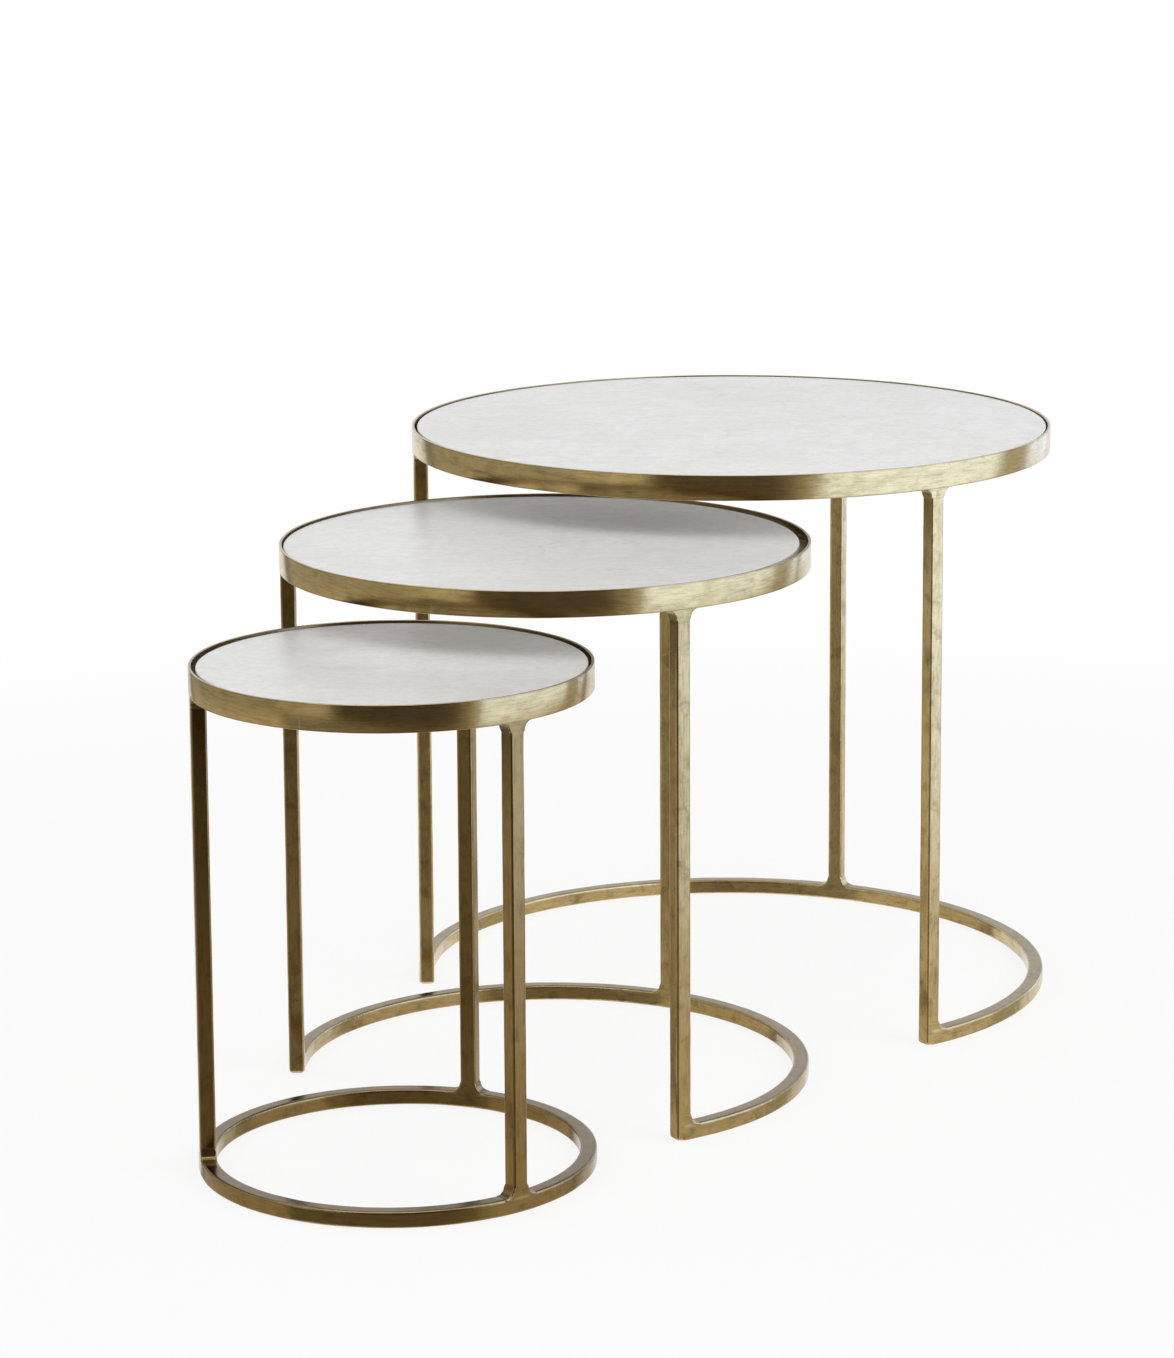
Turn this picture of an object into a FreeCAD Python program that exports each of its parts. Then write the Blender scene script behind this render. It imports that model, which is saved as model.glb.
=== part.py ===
"""Three round nesting tables: stone tops laid loose in welded flat-bar rims on square-bar legs.

The large and middle tables stand on a base ring that is open at the front, between two
end legs, so the next smaller table slides in under the top. The small table has a closed ring.
Units are millimetres and degrees. +Z is up, +Y points from the open front of the large table to
its back leg, and the origin is on the floor under the middle of the set's bounding box.
Headings are measured from +X towards +Y.
"""

import FreeCAD
import Part

import os
from dataclasses import dataclass
from math import cos, radians, sin

V = FreeCAD.Vector

# Stock
BAR = 15.0            # side of the square bar in the legs and base rings
BAR_EDGE = 2.0        # rounding along the bar's edges
BAND_HEIGHT = 24.0    # flat bar rolled into the rim
BAND_WALL = 3.0
BAND_EDGE = 0.6       # rounding along the rim's top edges
WELD_RADIUS = 7.0     # concave blend where a leg meets a ring or a rim
FOOT_EDGE = 3.0       # rounding under an end leg

# Support under the stone
LEDGE_WIDTH = 20.0
LEDGE_THICKNESS = 3.0
PAD_DIAMETER = 10.0
PAD_THICKNESS = 1.0
PAD_INSET = 13.0      # centre of a pad in from the rim's inner wall
STONE_ARRIS = 0.8     # rounding along the stone's edges

# Nesting
LEG_SPACING = 120.0        # heading from one leg to the next
SMALL_DIAMETER = 350.0
SMALL_HEIGHT = 451.0
NEST_HEADROOM = 32.5       # from a smaller table's rim to the underside of the next rim
SMALL_SIDE_ROOM = 19.5     # each side of the small table as it passes the middle one's end legs
MIDDLE_SIDE_ROOM = 12.0    # each side of the middle table as it passes the large one's end legs
MIDDLE_TUCK = 187.1        # how far the middle top lies under the large one
SMALL_TUCK = 126.7         # how far the small top lies under the middle one
MIDDLE_BEARING = 264.7     # heading from the large table's centre to the middle one's
SMALL_BEARING = 267.3      # heading from the middle table's centre to the small one's


@dataclass
class Table:
    """One table. Its heading points to its back leg; lengths in mm, angles in degrees."""

    name: str
    radius: float
    height: float
    x: float
    y: float
    heading: float
    closed_ring: bool
    stone_gap: float       # all round, between the stone and the rim
    stone_recess: float    # of the stone below the rim's top
    stone_shift: float     # of the loose stone off the rim's centre
    shift_heading: float
    pad_count: int

    @property
    def underside(self):
        """Height of the rim's lower edge, where the legs end."""
        return self.height - BAND_HEIGHT

    @property
    def leg_headings(self):
        """Heading of each leg by name, left and right as seen from the front."""
        return {
            "back": self.heading,
            "right": self.heading - LEG_SPACING,
            "left": self.heading + LEG_SPACING,
        }


def radius_around(inner_radius, side_room):
    """Outer radius of a table whose end legs leave side_room each side of a smaller one."""
    spread = radians(180 - LEG_SPACING)
    corner = BAR / 2 * (sin(spread) + cos(spread))
    return (inner_radius + side_room + corner) / sin(spread) + BAR / 2


def off(x, y, distance, heading):
    """The point that distance and heading lead to from x, y."""
    return x + distance * cos(radians(heading)), y + distance * sin(radians(heading))


def make_tables():
    """The three tables in their half-nested places, largest first."""
    small_radius = SMALL_DIAMETER / 2
    middle_radius = radius_around(small_radius, SMALL_SIDE_ROOM)
    large_radius = radius_around(middle_radius, MIDDLE_SIDE_ROOM)
    step = NEST_HEADROOM + BAND_HEIGHT
    middle_x, middle_y = off(0, 0, large_radius + middle_radius - MIDDLE_TUCK, MIDDLE_BEARING)
    small_x, small_y = off(middle_x, middle_y, middle_radius + small_radius - SMALL_TUCK,
                           SMALL_BEARING)
    depth_centre = (large_radius + small_y - small_radius) / 2
    return [
        Table("large", large_radius, SMALL_HEIGHT + 2 * step, 0, -depth_centre, 90,
              closed_ring=False, stone_gap=2.0, stone_recess=1.0,
              stone_shift=0.5, shift_heading=24, pad_count=8),
        Table("middle", middle_radius, SMALL_HEIGHT + step, middle_x, middle_y - depth_centre, 84,
              closed_ring=False, stone_gap=4.5, stone_recess=2.0,
              stone_shift=3.4, shift_heading=204, pad_count=6),
        Table("small", small_radius, SMALL_HEIGHT, small_x, small_y - depth_centre, 93,
              closed_ring=True, stone_gap=3.0, stone_recess=2.0,
              stone_shift=0.5, shift_heading=24, pad_count=6),
    ]


def turned(outline, sweep):
    """A solid made by turning a closed outline in the XZ plane about Z."""
    return Part.Face(outline).revolve(V(0, 0, 0), V(0, 0, 1), sweep)


def rounded_outline(r_in, r_out, low, high, edge, round_bottom=True):
    """A rectangle in the XZ plane with its corners rounded."""
    bottom = edge if round_bottom else 0.0
    k = cos(radians(45))
    corners = [(r_out, low, 1, -1, bottom), (r_out, high, 1, 1, edge),
               (r_in, high, -1, 1, edge), (r_in, low, -1, -1, bottom)]
    ends, curves = [], []
    for n, (x, z, sx, sz, r) in enumerate(corners):
        centre = V(x - sx * r, 0, z - sz * r)
        on_side = centre + V(sx * r, 0, 0)
        on_level = centre + V(0, 0, sz * r)
        start, end = (on_level, on_side) if n % 2 == 0 else (on_side, on_level)
        ends.append((start, end))
        if r:
            middle = centre + V(sx * r * k, 0, sz * r * k)
            curves.append(Part.Arc(start, middle, end).toShape())
    for n in range(4):
        curves.append(Part.makeLine(ends[n][1], ends[(n + 1) % 4][0]))
    return Part.Wire(Part.__sortEdges__(curves))


def place(shape, table, heading=0.0):
    """Turns a shape made about the origin to a heading and sets it at the table's centre."""
    placed = shape.copy()
    placed.rotate(V(0, 0, 0), V(0, 0, 1), heading)
    placed.translate(V(table.x, table.y, 0))
    return placed


def leg_slot(table, low, high):
    """The block that a leg at heading 0 fills, oversize along the radius."""
    return Part.makeBox(BAR * 3, BAR, high - low, V(table.radius - 2 * BAR, -BAR / 2, low))


def make_rim_band(table):
    outline = rounded_outline(table.radius - BAND_WALL, table.radius,
                              table.underside, table.height, BAND_EDGE, round_bottom=False)
    return place(turned(outline, 360), table)


def make_support_ledge(table):
    """Flat ring welded inside the rim's lower edge, which carries the stone."""
    outer = table.radius - BAND_WALL
    ring = Part.makeCylinder(outer, LEDGE_THICKNESS, V(0, 0, table.underside))
    hole = Part.makeCylinder(outer - LEDGE_WIDTH, LEDGE_THICKNESS, V(0, 0, table.underside))
    return place(ring.cut(hole), table)


def make_stone_pads(table):
    """Clear bumpers between ledge and stone."""
    base = table.underside + LEDGE_THICKNESS
    r = table.radius - BAND_WALL - PAD_INSET
    pads = []
    for n in range(table.pad_count):
        x, y = off(table.x, table.y, r, table.heading + 360 / table.pad_count * (n + 0.5))
        pads.append(Part.makeCylinder(PAD_DIAMETER / 2, PAD_THICKNESS, V(x, y, base)))
    return Part.makeCompound(pads)


def make_stone_top(table):
    radius = table.radius - BAND_WALL - table.stone_gap
    base = table.underside + LEDGE_THICKNESS + PAD_THICKNESS
    top = table.height - table.stone_recess
    x, y = off(table.x, table.y, table.stone_shift, table.shift_heading)
    stone = Part.makeCylinder(radius, top - base, V(x, y, base))
    rims = [e for e in stone.Edges if e.Closed and len(e.Vertexes) == 1 and e.Length > radius]
    return stone.makeFillet(STONE_ARRIS, rims)


def make_base_ring(table):
    """The ring on the floor: closed, or an arc that butts against the two end legs."""
    outline = rounded_outline(table.radius - BAR, table.radius, 0, BAR, BAR_EDGE)
    if table.closed_ring:
        return place(turned(outline, 360), table)
    half = LEG_SPACING
    arc = turned(outline, 2 * half)
    arc.rotate(V(0, 0, 0), V(0, 0, 1), -half)
    for end in (-half, half):
        slot = leg_slot(table, -BAR, 2 * BAR)
        slot.rotate(V(0, 0, 0), V(0, 0, 1), end)
        arc = arc.cut(slot)
    return place(arc, table, table.heading)


def weld_blend(table, level, side, up):
    """Concave blend beside a leg at heading 0, on a level that faces up (1) or down (-1)."""
    y0 = side * BAR / 2
    y1 = y0 + side * WELD_RADIUS
    z1 = level + up * WELD_RADIUS
    k = 1 - cos(radians(45))
    inner = table.radius - 2 * BAR
    corner, along, away = V(inner, y0, level), V(inner, y1, level), V(inner, y0, z1)
    bulge = V(inner, y0 + side * WELD_RADIUS * k, level + up * WELD_RADIUS * k)
    outline = Part.Wire([Part.makeLine(corner, along), Part.Arc(along, bulge, away).toShape(),
                         Part.makeLine(away, corner)])
    block = Part.Face(outline).extrude(V(3 * BAR, 0, 0))
    low = min(level, z1)
    shell = Part.makeCylinder(table.radius, WELD_RADIUS, V(0, 0, low))
    shell = shell.cut(Part.makeCylinder(table.radius - BAR, WELD_RADIUS, V(0, 0, low)))
    return block.common(shell)


def make_leg(table, name):
    """A square bar from the base ring, or from the floor at an open ring's end, to the rim."""
    is_end = not table.closed_ring and name != "back"
    foot = 0.0 if is_end else BAR
    x_in = table.radius - BAR
    bar = Part.makeBox(BAR, BAR, table.underside - foot, V(x_in, -BAR / 2, foot))
    upright = [e for e in bar.Edges if abs(e.tangentAt(e.FirstParameter).z) > 0.99]
    bar = bar.makeFillet(BAR_EDGE, upright)
    if is_end:
        free_side = 1 if name == "left" else -1
        under = [e for e in bar.Edges
                 if e.BoundBox.ZMax < 0.01 and abs(e.CenterOfMass.y - free_side * BAR / 2) < 0.01]
        bar = bar.makeFillet(min(FOOT_EDGE, BAR / 4), under)
        ring_sides = (-free_side,)
    else:
        ring_sides = (-1, 1)
    blends = [weld_blend(table, BAR, side, 1) for side in ring_sides]
    blends += [weld_blend(table, table.underside, side, -1) for side in (-1, 1)]
    leg = bar.multiFuse(blends).removeSplitter()
    return place(leg, table, table.leg_headings[name])


def make_parts():
    """Every sub-part by node name."""
    parts = {}
    for table in make_tables():
        parts[f"{table.name}_rim_band"] = make_rim_band(table)
        parts[f"{table.name}_support_ledge"] = make_support_ledge(table)
        parts[f"{table.name}_stone_pads"] = make_stone_pads(table)
        parts[f"{table.name}_stone_top"] = make_stone_top(table)
        parts[f"{table.name}_base_ring"] = make_base_ring(table)
        for name in table.leg_headings:
            parts[f"{table.name}_leg_{name}"] = make_leg(table, name)
    return parts


def main():
    os.makedirs("parts", exist_ok=True)
    for table in make_tables():
        print(f"{table.name}: diameter {2 * table.radius:.2f}, height {table.height:.1f}, "
              f"centre ({table.x:.2f}, {table.y:.2f})")
    for node, shape in make_parts().items():
        if not shape.isValid():
            raise RuntimeError(f"{node} is not a valid shape")
        shape.exportStep(f"parts/{node}.step")


main()
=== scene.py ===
"""Finished pieces, surfaces and studio for a set of three round nesting tables.

Lengths are in metres. Each table stands about its own upright axis. Its rim, its welded stand and its
loose stone take their places from the construction model's nodes. Headings are measured from +X towards +Y.
"""

from math import atan2, cos, pi, radians, sin

import bmesh
import bpy
from mathutils import Matrix, Vector


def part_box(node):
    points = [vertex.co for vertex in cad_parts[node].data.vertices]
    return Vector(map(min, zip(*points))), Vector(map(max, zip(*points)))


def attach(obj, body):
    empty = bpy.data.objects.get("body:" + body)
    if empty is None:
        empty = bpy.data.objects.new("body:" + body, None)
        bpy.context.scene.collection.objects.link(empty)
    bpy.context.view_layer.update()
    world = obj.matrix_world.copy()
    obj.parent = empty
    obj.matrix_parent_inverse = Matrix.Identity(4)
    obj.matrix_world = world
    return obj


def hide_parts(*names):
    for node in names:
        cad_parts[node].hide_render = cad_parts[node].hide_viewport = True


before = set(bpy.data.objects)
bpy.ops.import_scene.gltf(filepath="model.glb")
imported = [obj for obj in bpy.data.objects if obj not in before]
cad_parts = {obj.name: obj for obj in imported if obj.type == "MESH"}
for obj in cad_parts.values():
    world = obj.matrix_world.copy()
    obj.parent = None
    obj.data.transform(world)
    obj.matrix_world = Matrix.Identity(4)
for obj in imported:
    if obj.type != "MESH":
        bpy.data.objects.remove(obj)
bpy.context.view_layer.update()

bl_info = {
    "name": "Nesting Tables",
    "version": (1, 0, 0),
    "blender": (4, 5, 0),
    "location": "View3D > Sidebar > Nesting Tables",
    "description": "Builds finished rims, stands and stones for round nesting tables, and their studio",
    "category": "Object",
}

TABLES = ("large", "middle", "small")
LEGS = ("leg_back", "leg_left", "leg_right")
TOP_TENON = 0.003    # a leg and its welds run this far into the rim or the ring
FLUSH = 0.0004       # a leg's outer face lies this far inside the rim's
OVERLAP = 0.0006     # a weld runs this far into the leg
FOOT_EDGE = 0.0045   # rounding of a foot that stands on the floor


class Table:
    """Places and sizes of one table, read from its nodes."""

    def __init__(self, name):
        self.name = name
        low, high = (Vector(corner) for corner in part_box(f"{name}_rim_band"))
        self.centre = (low + high) / 2
        self.centre.z = 0
        self.radius = (high.x - low.x) / 2
        self.underside = low.z
        self.height = high.z
        self.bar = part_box(f"{name}_base_ring")[1][2]

    def heading(self, leg):
        """Heading of a leg's foot and whether it stands on the floor."""
        low, high = (Vector(corner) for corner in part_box(f"{self.name}_{leg}"))
        way = (low + high) / 2 - self.centre
        return atan2(way.y, way.x), low.z < self.bar / 2


# How much of the aged brown tone the brass of each rim, and of each stand, takes on: painted shade,
# which darkens the smaller tables that stand under the larger ones
RIM_PAINTED_SHADE = {"large": 0.0, "middle": 0.1, "small": 0.3}
STAND_PAINTED_SHADE = {"large": 0.05, "middle": 0.42, "small": 0.9}

# Cards round the tables: from one floor point to another, the light that each sends to the metal, and
# the light that its foot sends
CARD_HEIGHT = 5
CARD_FADE = (-0.35, 0.12)    # heights between which the foot's light turns into the card's
CARDS = {
    "front_card": ((-0.3, -3.0), (1.1, -1.03), (0.103, 0.081, 0.054), (0.28, 0.235, 0.165)),
    "front_corner_card": ((1.1, -1.03), (1.2, -0.92), (0.27, 0.215, 0.135), (0.33, 0.27, 0.17)),
    "right_corner_card": ((1.2, -0.92), (1.31, -0.79), (0.48, 0.42, 0.28), (0.5, 0.43, 0.29)),
    "right_card": ((1.31, -0.79), (1.7, 1.5), (1.33, 1.57, 2.08), (0.74, 0.67, 0.53)),
    "right_back_card": ((1.7, 1.5), (1.35, 2.4), (0.55, 0.53, 0.42), (0.5, 0.47, 0.36)),
    "back_card": ((1.35, 2.4), (0.4, 3.4), (1.2, 1.38, 1.85), (0.9, 0.9, 0.85)),
    "left_front_card": ((-2.0, -3.0), (-0.3, -3.0), (0.58, 0.53, 0.39), (0.30, 0.27, 0.2)),
    "left_card": ((-2.0, 0.75), (-2.0, -3.0), (0.45, 0.42, 0.33), (0.66, 0.59, 0.44)),
    "left_back_card": ((-1.95, 1.1), (-2.0, 0.75), (0.22, 0.2, 0.15), (0.22, 0.2, 0.15)),
}


# ---------------------------------------------------------------------------------------------------
# Sizes and colours


class RimSettings(bpy.types.PropertyGroup):
    """Rims of rolled flat bar."""

    wall: bpy.props.FloatProperty(
        name="Wall", description="Thickness of the flat bar", default=0.003, min=0.001, unit="LENGTH")
    edge: bpy.props.FloatProperty(
        name="Edge", description="Rounding of the bar's edges", default=0.0007, min=0.0, unit="LENGTH")
    waviness: bpy.props.FloatProperty(
        name="Waviness", description="Depth left by hand finishing", default=0.00035, min=0.0,
        unit="LENGTH")
    segments: bpy.props.IntProperty(
        name="Segments", description="Straight steps round a rim", default=360, min=32)


class StandSettings(bpy.types.PropertyGroup):
    """Welded stands of square bar."""

    edge: bpy.props.FloatProperty(
        name="Edge", description="Rounding of the square bar", default=0.002, min=0.0, unit="LENGTH")
    weld: bpy.props.FloatProperty(
        name="Weld", description="Radius of the ground weld at a joint", default=0.008, min=0.001,
        unit="LENGTH")
    grain: bpy.props.FloatProperty(
        name="Grain", description="Mesh size of the blended stand", default=0.001, min=0.0005,
        unit="LENGTH")
    waviness: bpy.props.FloatProperty(
        name="Waviness", description="Depth left by hand finishing", default=0.0004, min=0.0,
        unit="LENGTH")


class StoneSettings(bpy.types.PropertyGroup):
    """Loose round stones."""

    arris: bpy.props.FloatProperty(
        name="Arris", description="Rounding of the stone's edges", default=0.0009, min=0.0,
        unit="LENGTH")
    segments: bpy.props.IntProperty(
        name="Segments", description="Straight steps round a stone", default=320, min=32)


def colour(name, description, default):
    return bpy.props.FloatVectorProperty(
        name=name, description=description, default=default, size=3, min=0.0, max=1.0,
        subtype="COLOR")


class FinishSettings(bpy.types.PropertyGroup):
    """Colours of the brass, the marble, the pads and the studio."""

    brass: colour("Brass", "Clean brushed brass", (0.68, 0.55, 0.30))
    brass_dull: colour("Dull brass", "Brass that has aged evenly", (0.56, 0.44, 0.22))
    # The aged brown also serves as painted shade on the tables that stand under the larger ones.
    brass_aged_and_shaded: colour("Aged brass", "Brown brass of a stand that has aged", (0.26, 0.18, 0.07))
    brass_edge: colour("Worn brass", "Brass rubbed bright along its edges", (0.80, 0.69, 0.45))
    # The dark stain also serves as painted shade inside the rims, on the stands' upward faces and on the
    # legs just under the rims.
    patina_and_shade: colour("Patina", "Dark stain in streaks and pits", (0.07, 0.045, 0.022))
    marble: colour("Marble", "Ground of the stone", (0.86, 0.86, 0.855))
    marble_cloud: colour("Marble cloud", "Soft grey clouds in the stone", (0.66, 0.667, 0.65))
    marble_warm: colour("Warm marble", "Beige streaks in the stone", (0.74, 0.725, 0.69))
    marble_vein: colour("Marble vein", "Thin veins in the stone", (0.52, 0.51, 0.49))
    marble_crystal: colour("Marble crystal", "Short light specks in the stone", (0.90, 0.90, 0.90))
    silicone: colour("Silicone", "Clear pads under the stone", (0.82, 0.83, 0.82))
    floor: colour("Floor", "Studio floor", (0.97, 0.97, 0.97))


# ---------------------------------------------------------------------------------------------------
# Modelling helpers


def select_only(obj):
    """Makes obj the one selected and active object, in object mode."""
    if bpy.context.mode != "OBJECT":
        bpy.ops.object.mode_set(mode="OBJECT")
    bpy.ops.object.select_all(action="DESELECT")
    obj.select_set(True)
    bpy.context.view_layer.objects.active = obj


def deselect_everything():
    if bpy.context.mode != "OBJECT":
        bpy.ops.object.mode_set(mode="OBJECT")
    bpy.ops.object.select_all(action="DESELECT")


def edit(obj, kind):
    """Opens obj in edit mode with nothing selected, to pick elements of a kind."""
    select_only(obj)
    bpy.ops.object.mode_set(mode="EDIT")
    bpy.ops.mesh.select_mode(type=kind)
    bpy.ops.mesh.select_all(action="DESELECT")


def pick(obj, kind, wanted):
    """Selects the elements of the open mesh that wanted says, and returns how many."""
    mesh = bmesh.from_edit_mesh(obj.data)
    elements = {"VERT": mesh.verts, "EDGE": mesh.edges, "FACE": mesh.faces}[kind]
    chosen = [element for element in elements if wanted(element)]
    for element in chosen:
        element.select_set(True)
    mesh.select_flush_mode()
    bmesh.update_edit_mesh(obj.data)
    return len(chosen)


def apply_modifier(obj, kind, **settings):
    select_only(obj)
    modifier = obj.modifiers.new(kind.title(), kind)
    for key, value in settings.items():
        setattr(modifier, key, value)
    bpy.ops.object.modifier_apply(modifier=modifier.name)


def hand_finish(obj, depth, size):
    """Takes a shallow, uneven layer off the surface, as filing and sanding do."""
    texture = bpy.data.textures.new(f"{obj.name}_filing", "CLOUDS")
    texture.noise_scale = size
    texture.noise_depth = 2
    apply_modifier(obj, "DISPLACE", texture=texture, texture_coords="LOCAL", strength=depth,
                   mid_level=1.0)


def settle(obj, name, body, slot, material, *nodes):
    """Applies the object's place and hangs the finished piece on its body."""
    select_only(obj)
    bpy.ops.object.transform_apply(location=True, rotation=True, scale=True)
    obj.name = name
    obj.data.name = name
    obj.data.materials.clear()
    obj.data.materials.append(material)
    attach(obj, body)
    if nodes:
        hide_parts(*nodes)


# ---------------------------------------------------------------------------------------------------
# Pieces


def build_rim(table, settings):
    """A hoop of flat bar with soft edges."""
    deselect_everything()
    bpy.ops.mesh.primitive_cylinder_add(
        vertices=settings.segments, radius=table.radius, depth=table.height - table.underside,
        end_fill_type="NOTHING",
        location=table.centre + Vector((0, 0, (table.height + table.underside) / 2)))
    rim = bpy.context.object
    edit(rim, "EDGE")
    bpy.ops.mesh.select_all(action="SELECT")
    bpy.ops.mesh.subdivide(number_cuts=1)
    apply_modifier(rim, "SOLIDIFY", thickness=settings.wall, offset=-1)
    apply_modifier(rim, "BEVEL", width=settings.edge, segments=3, limit_method="ANGLE",
                   angle_limit=radians(60))
    hand_finish(rim, settings.waviness, 0.035)
    select_only(rim)
    bpy.ops.object.shade_smooth_by_angle(angle=radians(50))
    return rim


def build_bar_ring(table, edge, start, sweep):
    """Square bar rolled into an arc from heading start, or into a closed ring."""
    deselect_everything()
    middle = table.radius - table.bar / 2
    bpy.ops.mesh.primitive_plane_add(
        size=table.bar, rotation=(pi / 2, 0, start),
        location=table.centre + Vector((middle * cos(start), middle * sin(start), table.bar / 2)))
    ring = bpy.context.object
    bpy.ops.object.transform_apply(location=True, rotation=True, scale=True)
    edit(ring, "VERT")
    bpy.ops.mesh.select_all(action="SELECT")
    bpy.ops.mesh.bevel(offset=edge, segments=3, affect="VERTICES")
    closed = sweep > 2 * pi - 0.001
    bpy.ops.mesh.select_all(action="SELECT")
    if closed:
        bpy.ops.mesh.delete(type="ONLY_FACE")
        bpy.ops.mesh.select_all(action="SELECT")
    bpy.ops.mesh.spin(steps=int(sweep * table.radius / 0.004), angle=sweep, center=table.centre,
                      axis=(0, 0, -1))
    bpy.ops.mesh.select_all(action="SELECT")
    bpy.ops.mesh.remove_doubles(threshold=0.00001)
    bpy.ops.mesh.normals_make_consistent(inside=False)
    return ring


def build_leg_bar(table, edge, foot):
    """A square bar at heading 0, from foot to the rim."""
    deselect_everything()
    height = table.underside + TOP_TENON - foot
    bpy.ops.mesh.primitive_cube_add(
        size=1, scale=(table.bar - FLUSH, table.bar, height),
        location=(table.radius - (table.bar + FLUSH) / 2, 0, foot + height / 2))
    leg = bpy.context.object
    bpy.ops.object.transform_apply(location=True, rotation=True, scale=True)
    edit(leg, "EDGE")
    pick(leg, "EDGE", lambda e: max(v.co.z for v in e.verts) < 0.001)
    bpy.ops.mesh.bevel(offset=FOOT_EDGE, segments=3, affect="EDGES")
    bpy.ops.mesh.select_all(action="DESELECT")
    pick(leg, "EDGE", lambda e: abs(e.verts[0].co.z - e.verts[1].co.z) > height / 2)
    bpy.ops.mesh.bevel(offset=edge, segments=3, affect="EDGES")
    return leg


def build_weld(table, radius, level, side, up):
    """A ground weld beside a leg at heading 0: it curves from the level up, or down, the leg's side."""
    deselect_everything()
    y = side * table.bar / 2
    sink = TOP_TENON
    steps = 7
    bpy.ops.mesh.primitive_plane_add(
        size=1, location=(table.radius - (table.bar + FLUSH) / 2, y + side * radius / 2,
                          level - up * sink))
    weld = bpy.context.object
    weld.scale = (table.bar - FLUSH, radius + 2 * OVERLAP, 1)
    bpy.ops.object.transform_apply(location=True, rotation=True, scale=True)
    edit(weld, "FACE")
    bpy.ops.mesh.select_all(action="SELECT")
    width, rise = radius + 2 * OVERLAP, -sink
    for n in range(steps + 1):
        turn = pi / 2 * n / steps
        next_rise = radius * (1 - cos(turn))
        next_width = radius * (1 - sin(turn)) + 2 * OVERLAP
        bpy.ops.mesh.extrude_region_move(
            TRANSFORM_OT_translate={"value": (0, 0, up * (next_rise - rise + 0.00001))})
        bpy.ops.transform.resize(
            value=(1, next_width / width, 1), center_override=(0, y - side * OVERLAP, 0))
        width, rise = next_width, next_rise
    bpy.ops.mesh.select_all(action="SELECT")
    bpy.ops.mesh.normals_make_consistent(inside=False)
    return weld


def join(pieces):
    """Joins pieces into the first."""
    select_only(pieces[0])
    for piece in pieces:
        piece.select_set(True)
    bpy.ops.object.join()
    return pieces[0]


def build_stand(table, settings):
    """Base ring and legs, welded, ground and brushed as one."""
    legs = {leg: table.heading(leg) for leg in LEGS}
    open_ring = any(on_floor for heading, on_floor in legs.values())
    start = legs["leg_right"][0]
    sweep = (legs["leg_left"][0] - start) % (2 * pi) if open_ring else 2 * pi
    pieces = [build_bar_ring(table, settings.edge, start, sweep)]
    for leg, (heading, on_floor) in legs.items():
        group = [build_leg_bar(table, settings.edge, 0 if on_floor else table.bar / 2)]
        ring_sides = {"leg_back": (-1, 1), "leg_left": (-1,), "leg_right": (1,)}[leg]
        for side in ring_sides if open_ring else (-1, 1):
            group.append(build_weld(table, settings.weld, table.bar, side, 1))
        for side in (-1, 1):
            group.append(build_weld(table, settings.weld, table.underside, side, -1))
        whole = join(group)
        whole.rotation_euler = (0, 0, heading)
        whole.location = table.centre
        select_only(whole)
        bpy.ops.object.transform_apply(location=True, rotation=True, scale=True)
        pieces.append(whole)
    stand = join(pieces)
    grain = settings.grain
    apply_modifier(stand, "REMESH", mode="VOXEL", voxel_size=grain, use_smooth_shade=True)
    apply_modifier(stand, "SMOOTH", factor=0.5, iterations=4)
    hand_finish(stand, settings.waviness, 0.03)
    triangles = 2 * len(stand.data.polygons)
    if triangles > 150000:
        apply_modifier(stand, "DECIMATE", ratio=150000 / triangles)
    select_only(stand)
    bpy.ops.object.shade_smooth()
    return stand


def build_stone(table, settings):
    """A disc of stone with eased edges, as its node places it."""
    low, high = (Vector(corner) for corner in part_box(f"{table.name}_stone_top"))
    deselect_everything()
    bpy.ops.mesh.primitive_cylinder_add(
        vertices=settings.segments, radius=(high.x - low.x) / 2, depth=high.z - low.z,
        location=(low + high) / 2)
    stone = bpy.context.object
    edit(stone, "EDGE")
    pick(stone, "EDGE", lambda e: abs(e.verts[0].co.z - e.verts[1].co.z) < 0.0001)
    bpy.ops.mesh.bevel(offset=settings.arris, segments=4, affect="EDGES")
    bpy.ops.mesh.select_mode(type="FACE")
    bpy.ops.mesh.select_all(action="DESELECT")
    pick(stone, "FACE", lambda f: len(f.verts) > 8)
    bpy.ops.mesh.inset(thickness=0.004)
    select_only(stone)
    bpy.ops.object.shade_smooth_by_angle(angle=radians(40))
    return stone


# ---------------------------------------------------------------------------------------------------
# Surfaces


class Value:
    """A shader socket that adds Math nodes when it is used in an expression."""

    def __init__(self, shader, socket):
        self.shader = shader
        self.socket = socket

    def math(self, operation, *values, clamp=False):
        settings = {"operation": operation, "use_clamp": clamp}
        return self.shader.add("ShaderNodeMath", settings, dict(enumerate(values)))

    def __add__(self, other):
        return self.math("ADD", self, other)

    def __radd__(self, other):
        return self.math("ADD", other, self)

    def __sub__(self, other):
        return self.math("SUBTRACT", self, other)

    def __rsub__(self, other):
        return self.math("SUBTRACT", other, self)

    def __mul__(self, other):
        return self.math("MULTIPLY", self, other)

    def __rmul__(self, other):
        return self.math("MULTIPLY", other, self)

    def __truediv__(self, other):
        return self.math("DIVIDE", self, other)

    def root(self):
        return self.math("SQRT", self)

    def magnitude(self):
        return self.math("ABSOLUTE", self)

    def smoothstep(self, low, high):
        """0 below low, 1 above high, smooth between."""
        return self.shader.add("ShaderNodeMapRange", {"interpolation_type": "SMOOTHSTEP"},
                               {"Value": self, "From Min": low, "From Max": high})


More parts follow.
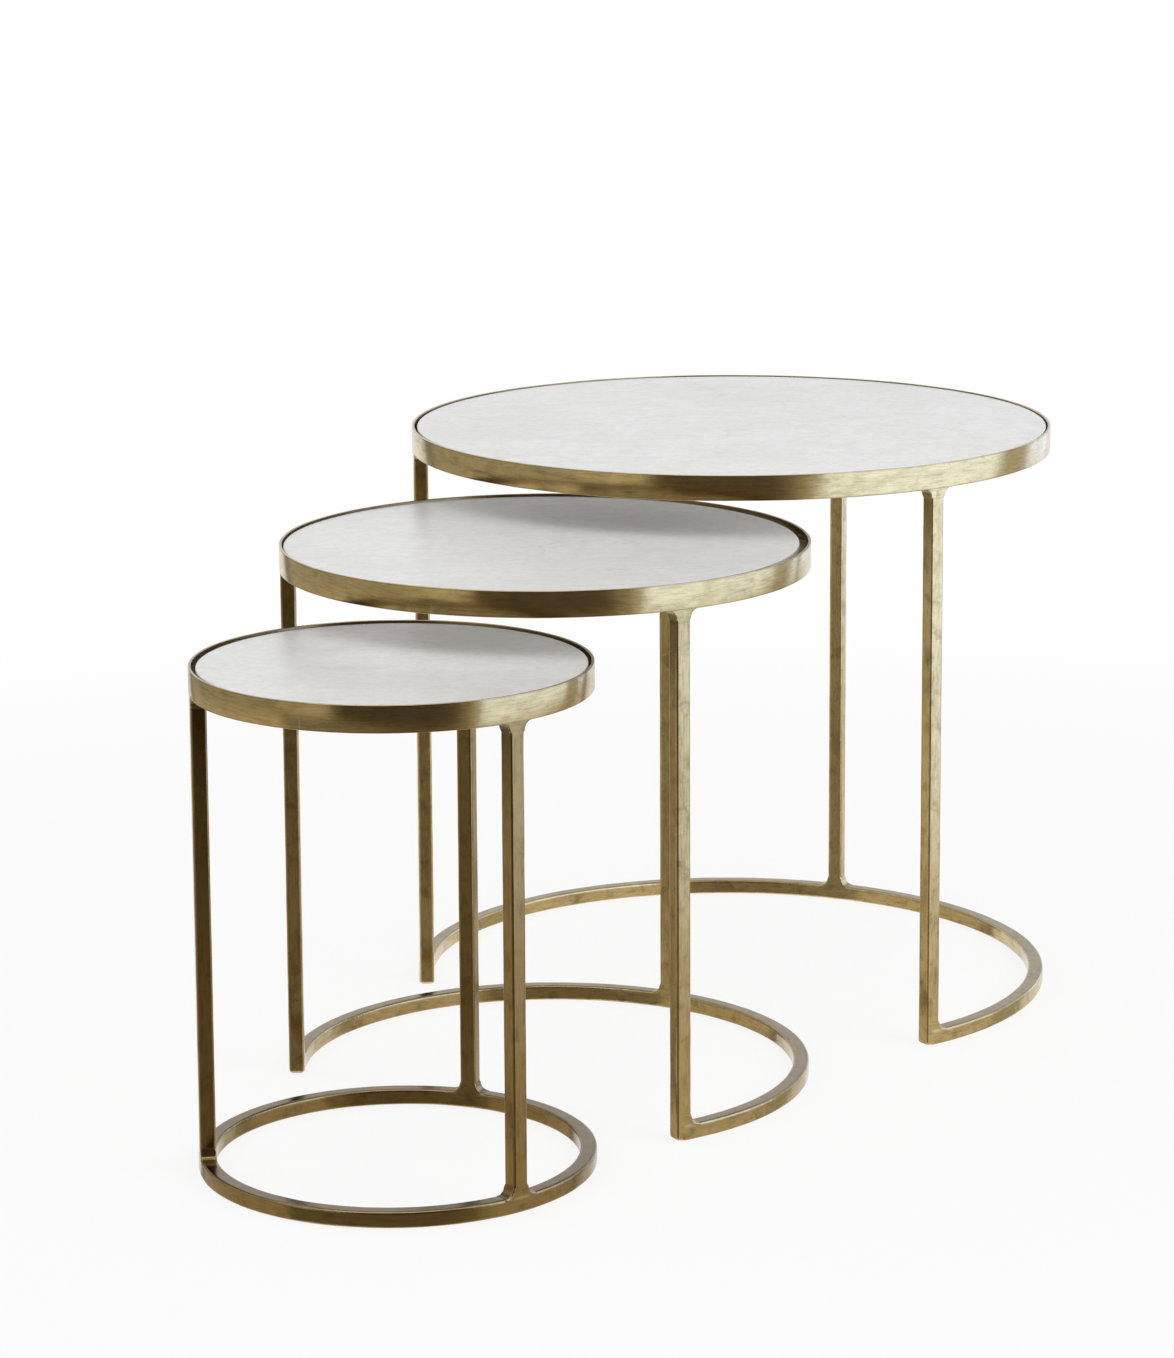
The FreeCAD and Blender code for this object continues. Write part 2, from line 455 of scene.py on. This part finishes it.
class Shader:
    """The node tree of a new material, or of a world."""

    def __init__(self, name, world=False):
        self.owner = (bpy.data.worlds if world else bpy.data.materials).new(name)
        self.owner.use_nodes = True
        self.tree = self.owner.node_tree
        self.tree.nodes.clear()

    def add(self, kind, settings=None, inputs=None, output=0):
        """Adds a node with its settings and the values or links of its sockets."""
        node = self.tree.nodes.new(kind)
        for key, value in (settings or {}).items():
            if key == "stops":
                for n, (place, tone) in enumerate(value):
                    stop = node.color_ramp.elements[n] if n < 2 else node.color_ramp.elements.new(place)
                    stop.position = place
                    stop.color = (*tone, 1)
            else:
                setattr(node, key, value)
        for key, value in (inputs or {}).items():
            socket = node.inputs[key]
            if isinstance(value, Value):
                self.tree.links.new(value.socket, socket)
            elif socket.type == "RGBA" and len(value) == 3:
                socket.default_value = (*value, 1)
            else:
                socket.default_value = value
        return Value(self, node.outputs[output]) if node.outputs else None

    def mix(self, factor, first, second):
        """Mixes two colours."""
        return self.add("ShaderNodeMix", {"data_type": "RGBA"},
                        {0: factor, 6: first, 7: second}, output=2)

    def place(self, centre=(0, 0, 0)):
        """Object coordinates about a centre."""
        point = self.add("ShaderNodeTexCoord", output=3)
        return self.add("ShaderNodeVectorMath", {"operation": "SUBTRACT"}, {0: point, 1: tuple(centre)})

    def axes(self, vector):
        """A vector's three parts."""
        return [self.add("ShaderNodeSeparateXYZ", inputs={0: vector}, output=n) for n in range(3)]

    def vector(self, x, y, z):
        return self.add("ShaderNodeCombineXYZ", inputs={0: x, 1: y, 2: z})

    def noise(self, vector, scale, detail=3.0, roughness=0.55, distortion=0.0):
        return self.add("ShaderNodeTexNoise", inputs={
            "Vector": vector, "Scale": scale, "Detail": detail, "Roughness": roughness,
            "Distortion": distortion})

    def bump(self, height, strength, distance, under=None):
        inputs = {"Height": height, "Strength": strength, "Distance": distance}
        if under:
            inputs["Normal"] = under
        return self.add("ShaderNodeBump", inputs=inputs)

    def surface(self, **sockets):
        """Ends the tree in a Principled BSDF and returns the material."""
        names = {key.replace("_", " "): value for key, value in sockets.items()}
        shader = self.add("ShaderNodeBsdfPrincipled", inputs=names)
        self.add("ShaderNodeOutputMaterial", inputs={"Surface": shader})
        return self.owner


def antique_brass(name, table, colours, upright=None):
    """Brushed brass with a worn, stained surface, and painted shade: darker on the tables that stand under
    the larger ones, inside the rims, on the stands' upward faces and on the legs just under the rims.
    Upright is the stretch of heights where the legs' lengthwise brushing takes over from the brushing round
    the table."""
    shader = Shader(name)
    point = shader.place(table.centre)
    x, y, z = shader.axes(point)
    reach = (x * x + y * y).root()
    across = z + reach
    brushing = shader.noise(shader.vector(x * 14, y * 14, across * 1500), 1.0, 2.0)
    mottle = shader.noise(shader.vector(x * 60, y * 60, across * 130), 1.0, 5, 0.68, 0.3)
    streak = shader.noise(shader.vector(x * 18, y * 18, across * 210), 1.0, 5, 0.7, 0.3)
    scratch = shader.noise(shader.vector(x * 60, y * 60, across * 800), 1.0, 3, 0.65, 0.2)
    if upright:
        low, high = upright
        leg = z.smoothstep(low, low + 0.008) * (1 - z.smoothstep(high - 0.008, high))
        brushing_long = shader.noise(shader.vector(x * 1500, y * 1500, z * 14), 1.0, 2.0)
        mottle_long = shader.noise(shader.vector(x * 100, y * 100, z * 50), 1.0, 5, 0.68, 0.3)
        streak_long = shader.noise(shader.vector(x * 210, y * 210, z * 18), 1.0, 5, 0.7, 0.3)
        scratch_long = shader.noise(shader.vector(x * 800, y * 800, z * 60), 1.0, 3, 0.65, 0.2)
        brushing = brushing_long * leg + brushing * (1 - leg)
        mottle = mottle_long * leg + mottle * (1 - leg)
        streak = streak_long * leg + streak * (1 - leg)
        scratch = scratch_long * leg + scratch * (1 - leg)
    tone = shader.noise(point, 9, 4, 0.6)
    blotch = shader.noise(point, 60, 5, 0.65, 0.4)
    stain = streak.smoothstep(0.52, 0.76)
    scratched = scratch.smoothstep(0.42, 0.72)
    pits = shader.add("ShaderNodeTexVoronoi", inputs={"Vector": point, "Scale": 300})
    pit_here = shader.noise(point, 55, 2).smoothstep(0.5, 0.62)
    pit = (1 - pits.smoothstep(0.05, 0.16)) * pit_here
    worn = shader.add("ShaderNodeNewGeometry", output=7).smoothstep(0.505, 0.56)
    dull = (tone * 0.6 + mottle * 0.4).smoothstep(0.36, 0.66)
    metal = shader.mix(dull, tuple(colours.brass), tuple(colours.brass_dull))
    metal = shader.mix(mottle.smoothstep(0.46, 0.7) * 0.25, metal, tuple(colours.brass_aged_and_shaded))
    if upright:
        across_x, across_y, upward = shader.axes(shader.add("ShaderNodeNewGeometry", output=1))
        outward = ((x * across_x + y * across_y) / reach).smoothstep(0.4, 0.8)
        # Painted shade: the legs' side and inner faces are darkened just under the rim.
        painted_shade_under_rim = z.smoothstep(high - 0.085, high + 0.005) * (1 - outward)
        # Painted shade: the stand is darkened the more its table stands under the larger ones.
        metal = shader.mix(STAND_PAINTED_SHADE[table.name], metal, tuple(colours.brass_aged_and_shaded))
        metal = shader.mix(blotch.smoothstep(0.5, 0.7) * 0.35, metal, tuple(colours.patina_and_shade))
        # Painted shade: faces that look up are darkened.
        metal = shader.mix(upward.smoothstep(0.6, 0.9) * 0.65, metal, tuple(colours.patina_and_shade))
        metal = shader.mix(painted_shade_under_rim * 0.6, metal, tuple(colours.patina_and_shade))
    else:
        # Painted shade: the inner wall of the rim is darkened.
        inside = 1 - reach.smoothstep(table.radius - 0.0024, table.radius - 0.0012)
        above_low = (z - table.underside).smoothstep(0.0004, 0.0022)
        below_high = (table.height - z).smoothstep(0.0006, 0.002)
        edge = (1 - above_low * below_high) * (0.3 + stain * 0.5 + mottle * 0.5)
        # Painted shade: the rim is darkened the more its table stands under the larger ones.
        metal = shader.mix(RIM_PAINTED_SHADE[table.name], metal, tuple(colours.brass_aged_and_shaded))
        metal = shader.mix(inside * 0.6, metal, tuple(colours.patina_and_shade))
        metal = shader.mix(edge * 0.6, metal, tuple(colours.patina_and_shade))
    metal = shader.mix(stain * 0.4, metal, tuple(colours.patina_and_shade))
    metal = shader.mix(scratched * 0.28, metal, tuple(colours.patina_and_shade))
    metal = shader.mix(pit * 0.7, metal, tuple(colours.patina_and_shade))
    metal = shader.mix(worn * 0.35, metal, tuple(colours.brass_edge))
    roughness = 0.165 + dull * 0.05 + stain * 0.06 + (brushing - 0.5) * 0.08
    fine = shader.bump(brushing, 0.2, 0.0001)
    normal = shader.bump(blotch, 0.1, 0.0004, fine)
    return shader.surface(Base_Color=metal, Metallic=1.0, Roughness=roughness, Normal=normal)


def honed_marble(name, centre, colours):
    """White stone, honed to a low sheen, with soft clouds, a fine grain, flecks and hair veins."""
    shader = Shader(name)
    point = shader.place(centre)
    x, y, z = shader.axes(point)
    along = x * 0.91 + y * 0.41
    athwart = y * 0.91 - x * 0.41
    cloud = shader.noise(point, 7, 6, 0.6, 0.5).smoothstep(0.42, 0.72)
    patch = shader.noise(shader.vector(along * 34, athwart * 55, z * 55), 1.0, 6, 0.75, 0.4)
    warm = shader.noise(shader.vector(along * 7, athwart * 16, z * 16), 1.0, 5, 0.6, 0.4)
    grain = shader.noise(point, 120, 6, 0.85)
    warp = shader.add("ShaderNodeTexNoise", inputs={"Vector": point, "Scale": 5, "Detail": 3},
                      output=1)
    bent = shader.add("ShaderNodeVectorMath", {"operation": "MULTIPLY_ADD"},
                      {0: warp, 1: (0.16, 0.16, 0.16), 2: point})
    ridge = 1 - (shader.noise(bent, 5.5, 3, 0.5) - 0.5).magnitude()
    where = shader.noise(point, 9, 2).smoothstep(0.46, 0.66)
    vein = ridge.smoothstep(0.99, 1.0) * where
    fleck = shader.noise(point, 95, 4, 0.75).smoothstep(0.6, 0.7)
    crystal = shader.noise(shader.vector(along * 50, athwart * 130, z * 130), 1.0, 2, 0.5)
    crystal = crystal.smoothstep(0.64, 0.74)
    stone = shader.mix(cloud * 0.42, tuple(colours.marble), tuple(colours.marble_cloud))
    stone = shader.mix(patch.smoothstep(0.44, 0.66) * 0.42, stone, tuple(colours.marble_cloud))
    stone = shader.mix(warm.smoothstep(0.5, 0.78) * 0.55, stone, tuple(colours.marble_warm))
    stone = shader.mix(grain.smoothstep(0.44, 0.6) * 0.45, stone, tuple(colours.marble_cloud))
    stone = shader.mix(vein * 0.3, stone, tuple(colours.marble_vein))
    stone = shader.mix(fleck * 0.3, stone, tuple(colours.marble_vein))
    stone = shader.mix(crystal * 0.6, stone, tuple(colours.marble_crystal))
    roughness = 0.27 + grain * 0.08 + fleck * 0.1
    normal = shader.bump(grain, 0.08, 0.0002)
    return shader.surface(Base_Color=stone, Roughness=roughness, Normal=normal)


def clear_silicone(colours):
    """Soft clear pads with a faint mould texture."""
    shader = Shader("clear_silicone")
    point = shader.place()
    haze = shader.noise(point, 300, 2)
    tint = shader.mix(haze, tuple(colours.silicone), (0.70, 0.72, 0.71))
    return shader.surface(Base_Color=tint, Roughness=0.3 + haze * 0.2, Normal=shader.bump(haze, 0.2, 0.0001))


def seen(shader):
    """1 for rays that the camera, a gloss or a clear piece sees, 0 for light itself."""
    path = shader.tree.nodes.new("ShaderNodeLightPath")
    rays = [Value(shader, path.outputs[name])
            for name in ("Is Camera Ray", "Is Glossy Ray", "Is Transmission Ray")]
    return rays[0].math("MAXIMUM", rays[0], rays[1].math("MAXIMUM", rays[1], rays[2]))


def studio_floor(colours):
    """Pale paper floor that keeps the tables' shadow."""
    shader = Shader("studio_floor")
    paper = shader.add("ShaderNodeBsdfDiffuse", inputs={"Color": tuple(colours.floor)})
    glow = shader.add("ShaderNodeEmission", inputs={"Color": (1, 1, 1), "Strength": 1.0})
    x, y, z = shader.axes(shader.place())
    away = (x * x + y * y).smoothstep(0.5, 5.0)
    share = 0.85 + away * 0.15
    mixed = shader.add("ShaderNodeMixShader", inputs={0: seen(shader) * share, 1: paper, 2: glow})
    shader.add("ShaderNodeOutputMaterial", inputs={"Surface": mixed})
    return shader.owner


def card_glow(name, tone, foot):
    """A glowing card that stands round the tables for the metal to reflect: it is no lamp, and paints
    reflections into the metal.
    """
    shader = Shader(name)
    height = shader.axes(shader.place())[2]
    light = shader.mix(height.smoothstep(*CARD_FADE), foot, tone)
    glow = shader.add("ShaderNodeEmission", inputs={"Color": light, "Strength": 1.0})
    shader.add("ShaderNodeOutputMaterial", inputs={"Surface": glow})
    shader.owner.cycles.emission_sampling = "NONE"
    return shader.owner


# ---------------------------------------------------------------------------------------------------
# Operators


class TABLES_OT_add_rims(bpy.types.Operator):
    """Add the three flat-bar rims"""

    bl_idname = "tables.add_rims"
    bl_label = "Add Rims"

    def execute(self, context):
        settings = context.scene.table_rims
        for name in TABLES:
            table = Table(name)
            brass = antique_brass(f"{name}_rim_brass", table, context.scene.table_finish)
            rim = build_rim(table, settings)
            settle(rim, f"{name}_rim", f"{name}_frame", "antique_brass", brass, f"{name}_rim_band")
        return {"FINISHED"}


class TABLES_OT_add_stands(bpy.types.Operator):
    """Add the three welded stands: base ring and legs"""

    bl_idname = "tables.add_stands"
    bl_label = "Add Stands"

    def execute(self, context):
        settings = context.scene.table_stands
        for name in TABLES:
            table = Table(name)
            brass = antique_brass(f"{name}_stand_brass", table, context.scene.table_finish,
                                  (table.bar + settings.weld, table.underside - settings.weld))
            stand = build_stand(table, settings)
            settle(stand, f"{name}_stand", f"{name}_frame", "antique_brass", brass,
                   f"{name}_base_ring", *(f"{name}_{leg}" for leg in LEGS))
        return {"FINISHED"}


class TABLES_OT_add_stones(bpy.types.Operator):
    """Add the three loose marble tops"""

    bl_idname = "tables.add_stones"
    bl_label = "Add Stones"

    def execute(self, context):
        for n, name in enumerate(TABLES):
            table = Table(name)
            offset = table.centre + Vector((1.7 * n, 2.3 * n, 0))
            marble = honed_marble(f"{name}_marble", offset, context.scene.table_finish)
            stone = build_stone(table, context.scene.table_stones)
            settle(stone, f"{name}_stone", f"{name}_stone", "marble", marble, f"{name}_stone_top")
            stone.visible_glossy = name == "large"
        return {"FINISHED"}


class TABLES_OT_finish_supports(bpy.types.Operator):
    """Finish the ledges and pads that carry the stones"""

    bl_idname = "tables.finish_supports"
    bl_label = "Finish Ledges and Pads"

    def execute(self, context):
        silicone = clear_silicone(context.scene.table_finish)
        for name in TABLES:
            table = Table(name)
            brass = antique_brass(f"{name}_ledge_brass", table, context.scene.table_finish)
            for node, material in (("support_ledge", brass), ("stone_pads", silicone)):
                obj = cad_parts[f"{name}_{node}"]
                for slot in obj.material_slots:
                    slot.material = material
        return {"FINISHED"}


class TABLES_OT_set_stage(bpy.types.Operator):
    """Set up the floor, the lights, the glowing cards that paint reflections into the metal, and the camera
    """

    bl_idname = "tables.set_stage"
    bl_label = "Set Stage"

    def execute(self, context):
        deselect_everything()
        bpy.ops.mesh.primitive_plane_add(size=60)
        floor = bpy.context.object
        floor.name = "studio_floor"
        floor.data.materials.append(studio_floor(context.scene.table_finish))
        floor.visible_glossy = False
        for name, (start, end, tone, foot) in CARDS.items():
            add_card(name, start, end, card_glow(name, tone, foot))
        add_softbox("right_softbox", heading=-10, distance=3.2, height=2.2, size=2.4, power=42)
        add_softbox("left_softbox", heading=190, distance=3.2, height=2.4, size=2.0, power=22)
        add_softbox("top_softbox", heading=-90, distance=0.6, height=3.4, size=2.6, power=16)
        set_world()
        set_camera()
        context.scene.view_settings.view_transform = "Standard"
        return {"FINISHED"}


def add_card(name, start, end, paper):
    """An upright card from one floor point to another, which only reflections see."""
    deselect_everything()
    start, end = Vector(start), Vector(end)
    way = end - start
    bpy.ops.mesh.primitive_plane_add(
        size=1, location=(*((start + end) / 2), 0), rotation=(pi / 2, 0, atan2(way.y, way.x)))
    card = bpy.context.object
    card.scale = (way.length, CARD_HEIGHT, 1)
    bpy.ops.object.transform_apply(location=True, rotation=True, scale=True)
    card.name = name
    card.data.materials.append(paper)
    card.visible_camera = False
    card.visible_diffuse = False
    card.visible_shadow = False
    card.visible_transmission = False


def add_softbox(name, heading, distance, height, size, power):
    """A square softbox that faces the tables."""
    way = radians(heading)
    place = Vector((distance * cos(way), distance * sin(way), height))
    lamp = bpy.data.lights.new(name, "AREA")
    lamp.shape = "SQUARE"
    lamp.size = size
    lamp.energy = power
    box = bpy.data.objects.new(name, lamp)
    bpy.context.scene.collection.objects.link(box)
    box.location = place
    box.rotation_euler = (Vector((0, 0, 0.3)) - place).to_track_quat("-Z", "Y").to_euler()


def set_world():
    """Even white surroundings that light the tables less than they show."""
    shader = Shader("studio", world=True)
    dim = shader.add("ShaderNodeBackground", inputs={"Color": (1, 1, 1), "Strength": 0.5})
    full = shader.add("ShaderNodeBackground", inputs={"Color": (1, 1, 1), "Strength": 1.0})
    mixed = shader.add("ShaderNodeMixShader", inputs={0: seen(shader), 1: dim, 2: full})
    shader.add("ShaderNodeOutputWorld", inputs={"Surface": mixed})
    bpy.context.scene.world = shader.owner


def set_camera():
    """A long lens, a little above the tops."""
    camera = bpy.data.cameras.new("camera")
    camera.lens = 115.43
    camera.sensor_width = 36
    camera.shift_y = -0.10
    camera.clip_end = 100
    holder = bpy.data.objects.new("camera", camera)
    bpy.context.scene.collection.objects.link(holder)
    turn = (Matrix.Rotation(radians(23.79), 4, "Z") @ Matrix.Rotation(radians(90 - 10.66), 4, "X")
            @ Matrix.Rotation(radians(-0.319), 4, "Z"))
    holder.matrix_world = Matrix.Translation((1.5843, -3.6853, 1.2424)) @ turn
    bpy.context.scene.camera = holder


class TABLES_PT_panel(bpy.types.Panel):
    """Nesting tables"""

    bl_idname = "TABLES_PT_panel"
    bl_label = "Nesting Tables"
    bl_space_type = "VIEW_3D"
    bl_region_type = "UI"
    bl_category = "Nesting Tables"

    def draw(self, context):
        layout = self.layout
        for operator in OPERATORS:
            layout.operator(operator.bl_idname)
        for key, group in SETTINGS.items():
            box = layout.box()
            for prop in group.__annotations__:
                box.prop(getattr(context.scene, key), prop)


OPERATORS = (TABLES_OT_add_rims, TABLES_OT_add_stands, TABLES_OT_add_stones,
             TABLES_OT_finish_supports, TABLES_OT_set_stage)
SETTINGS = {"table_rims": RimSettings, "table_stands": StandSettings, "table_stones": StoneSettings,
            "table_finish": FinishSettings}


def register():
    for group in SETTINGS.values():
        bpy.utils.register_class(group)
    for key, group in SETTINGS.items():
        setattr(bpy.types.Scene, key, bpy.props.PointerProperty(type=group))
    for cls in (*OPERATORS, TABLES_PT_panel):
        bpy.utils.register_class(cls)


def unregister():
    for cls in (TABLES_PT_panel, *reversed(OPERATORS)):
        bpy.utils.unregister_class(cls)
    for key in SETTINGS:
        delattr(bpy.types.Scene, key)
    for group in reversed(SETTINGS.values()):
        bpy.utils.unregister_class(group)


def main():
    register()
    bpy.ops.tables.add_rims()
    bpy.ops.tables.add_stands()
    bpy.ops.tables.add_stones()
    bpy.ops.tables.finish_supports()
    bpy.ops.tables.set_stage()


if __name__ == "__main__":
    main()
